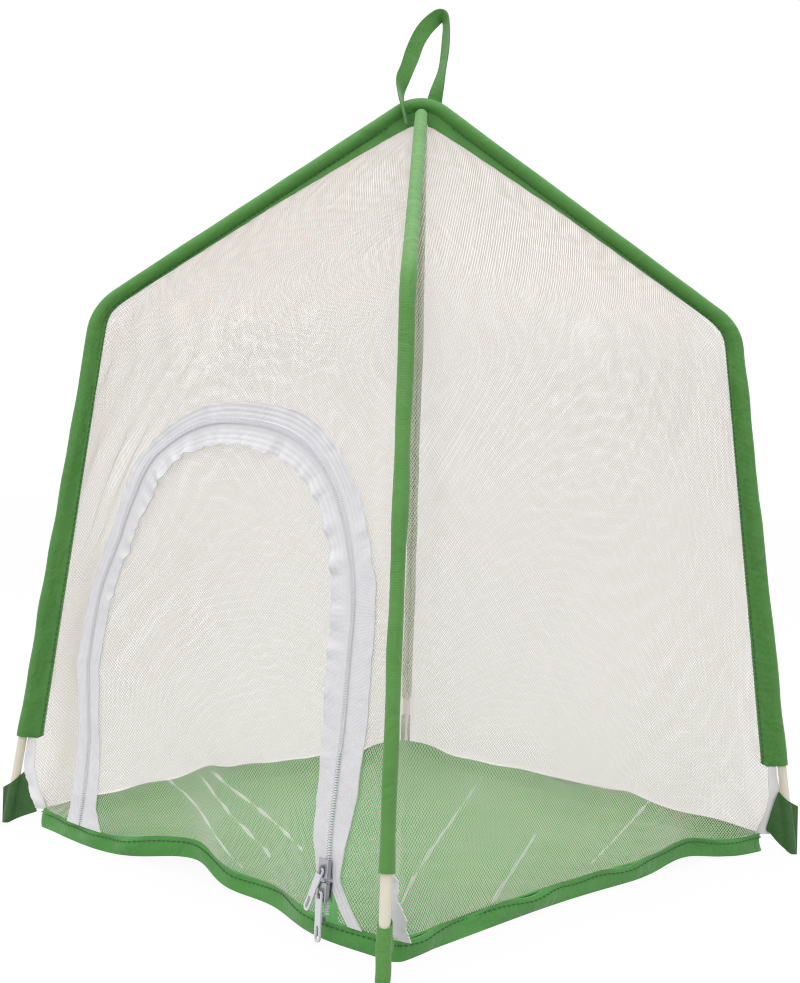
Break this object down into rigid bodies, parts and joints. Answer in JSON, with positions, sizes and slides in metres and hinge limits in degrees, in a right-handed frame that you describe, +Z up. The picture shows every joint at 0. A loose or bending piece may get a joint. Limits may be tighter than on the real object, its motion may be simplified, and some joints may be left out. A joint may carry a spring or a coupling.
{
  "type": "insect cage",
  "caption": "Collapsible square insect cage with a pyramid roof: net walls on sleeved pole arches, a cloth floor, a zipped arch door and a hanging loop.",
  "frame": {"origin": "middle of the floor's underside", "axes": "+Z up through the apex; -Y out of the zipped door wall; +X to the right of someone who faces the door"},
  "size_m": [0.336, 0.336, 0.4968],
  "materials": {
    "green_cloth": "woven polyester taffeta, matt with a faint sheen",
    "white_net": "diamond tulle net",
    "white_tape": "woven zip tape and seam binding",
    "white_coil": "nylon coil",
    "white_metal": "pale silver-white lacquer on zinc",
    "cream_rod": "extruded tube, satin",
    "grey_elbow": "moulded, matt"
  },
  "bodies": {
    "cage": {"apex_bend_over": "grey_elbow", "apex_bend_under": "grey_elbow", "corner_pocket_back_left": "green_cloth", "corner_pocket_back_right": "green_cloth", "corner_pocket_front_left": "green_cloth", "corner_pocket_front_right": "green_cloth", "corner_tape_back_left": "white_tape", "corner_tape_back_right": "white_tape", "corner_tape_front_left": "white_tape", "corner_tape_front_right": "white_tape", "door_sill_net": "white_net", "floor_hem": "green_cloth", "floor_panel": "green_cloth", "leg_rod_back_left": "cream_rod", "leg_rod_back_right": "cream_rod", "leg_rod_front_left": "cream_rod", "leg_rod_front_right": "cream_rod", "loop_end_back": "green_cloth", "loop_end_front": "green_cloth", "roof_rod_back_left": "cream_rod", "roof_rod_back_right": "cream_rod", "roof_rod_front_left": "cream_rod", "roof_rod_front_right": "cream_rod", "shoulder_elbow_back_left": "grey_elbow", "shoulder_elbow_back_right": "grey_elbow", "shoulder_elbow_front_left": "grey_elbow", "shoulder_elbow_front_right": "grey_elbow", "sleeve_back_left": "green_cloth", "sleeve_front_right": "green_cloth", "sleeve_over": "green_cloth", "wall_net_back": "white_net", "wall_net_front": "white_net", "wall_net_left": "white_net", "wall_net_right": "white_net", "zip_coil_foot_left": "white_coil", "zip_coil_foot_right": "white_coil", "zip_coil_outer": "white_coil", "zip_stop_left": "white_metal", "zip_stop_right": "white_metal", "zip_tape_foot_left": "white_tape", "zip_tape_foot_right": "white_tape", "zip_tape_outer": "white_tape"},
    "door": {"door_net": "white_net", "zip_tape_inner": "white_tape", "zip_coil_inner": "white_coil"},
    "slider_lower": {"slider_lower": "white_metal"},
    "slider_upper": {"slider_upper": "white_metal"},
    "pull_lower": {"pull_lower": "white_metal"},
    "pull_upper": {"pull_upper": "white_metal"},
    "loop": {"hanging_loop": "green_cloth"}
  },
  "joints": [
    {"name": "door_fold", "type": "hinge", "parent": "cage", "child": "door", "pos_m": [0.01, -0.15086, 0.04265], "axis": [1, 0, 0], "range_deg": [0, 105]},
    {"name": "slider_lower_slide", "type": "slide", "parent": "cage", "child": "slider_lower", "axis": [0, -0.0718, -0.9974], "range_m": [-0.048, 0]},
    {"name": "slider_upper_slide", "type": "slide", "parent": "slider_lower", "child": "slider_upper", "axis": [0, -0.0718, -0.9974], "range_m": [-0.05, 0]},
    {"name": "pull_lower_swing", "type": "hinge", "parent": "slider_lower", "child": "pull_lower", "pos_m": [0.10951, -0.1539, 0.02412], "axis": [1, 0, 0], "range_deg": [-110, 0]},
    {"name": "pull_upper_swing", "type": "hinge", "parent": "slider_upper", "child": "pull_upper", "pos_m": [0.10951, -0.15313, 0.03479], "axis": [1, 0, 0], "range_deg": [-110, 0]},
    {"name": "hanging_loop_fold", "type": "hinge", "parent": "cage", "child": "loop", "pos_m": [0, 0, 0.43871], "axis": [0.7071, 0.7071, 0], "range_deg": [-60, 60], "stiffness_Nm_per_rad": 0.002}
  ]
}
